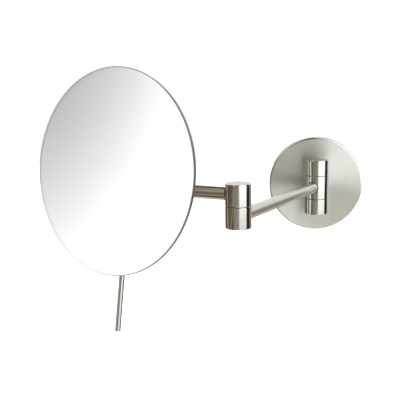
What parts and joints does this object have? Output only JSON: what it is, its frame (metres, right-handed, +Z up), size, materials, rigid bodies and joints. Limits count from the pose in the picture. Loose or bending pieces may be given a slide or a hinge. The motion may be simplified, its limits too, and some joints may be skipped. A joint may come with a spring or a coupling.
{
  "type": "extendable shaving mirror",
  "caption": "Round magnifying mirror with a handle rod on a two-part folding swing arm from a round wall plate.",
  "frame": {"origin": "centre of the wall plate's back, on the wall plane", "axes": "+Z up, -Y out of the wall into the room, +X to the right along the wall as seen from the room"},
  "size_m": [0.3387, 0.2475, 0.2478],
  "materials": {
    "satin_nickel": "satin brushed nickel plate",
    "polished_nickel": "fine turned nickel plate",
    "steel": "zinc-plated steel",
    "bronze": "sintered bearing bronze",
    "mirror_glass": "silvered glass with a ground edge",
    "foam_pad": "black adhesive foam"
  },
  "bodies": {
    "wall": {"mounting_bracket": "steel", "wall_plate": "satin_nickel", "plate_grub_screw": "steel", "post_upper_lug": "polished_nickel", "post_lower_lug": "polished_nickel", "lug_screws": "steel", "post_pin": "steel", "post_cap": "polished_nickel", "post_washers": "bronze"},
    "inner_arm": {"post_hub": "polished_nickel", "post_bush": "bronze", "inner_rod": "satin_nickel", "inner_grub_screws": "steel", "elbow_lower_block": "polished_nickel", "elbow_bush": "bronze", "elbow_washer": "bronze", "elbow_spring_washer": "steel", "elbow_cap": "polished_nickel"},
    "outer_arm": {"elbow_upper_block": "polished_nickel", "elbow_bolt": "steel", "outer_rod": "satin_nickel", "outer_grub_screws": "steel", "knuckle_block": "polished_nickel", "knuckle_bush": "bronze", "knuckle_washer": "bronze", "knuckle_spring_washer": "steel", "knuckle_cap": "polished_nickel"},
    "head": {"swivel_block": "polished_nickel", "knuckle_bolt": "steel"},
    "mirror": {"tilt_hub": "satin_nickel", "tilt_bolt": "steel", "tilt_washers": "bronze", "tilt_nut": "satin_nickel", "hub_screws": "steel", "backing_plate": "steel", "adhesive_pad": "foam_pad", "mirror_glass": "mirror_glass", "handle_rod": "satin_nickel", "handle_grub_screw": "steel"}
  },
  "joints": [
    {"name": "inner_arm_swing", "type": "hinge", "parent": "wall", "child": "inner_arm", "pos_m": [0, -0.024, 0], "axis": [0, 0, 1], "range_deg": [-20, 100]},
    {"name": "elbow_swing", "type": "hinge", "parent": "inner_arm", "child": "outer_arm", "pos_m": [-0.08535, -0.19151, 0], "axis": [0, 0, 1], "range_deg": [-20, 110]},
    {"name": "head_swivel", "type": "hinge", "parent": "outer_arm", "child": "head", "pos_m": [-0.17773, -0.1588, 0.021], "axis": [0, 0, 1], "range_deg": [-150, 20]},
    {"name": "mirror_tilt", "type": "hinge", "parent": "head", "child": "mirror", "pos_m": [-0.18797, -0.17597, 0.0398], "axis": [-0.859, 0.512, 0], "range_deg": [-15, 25]}
  ]
}
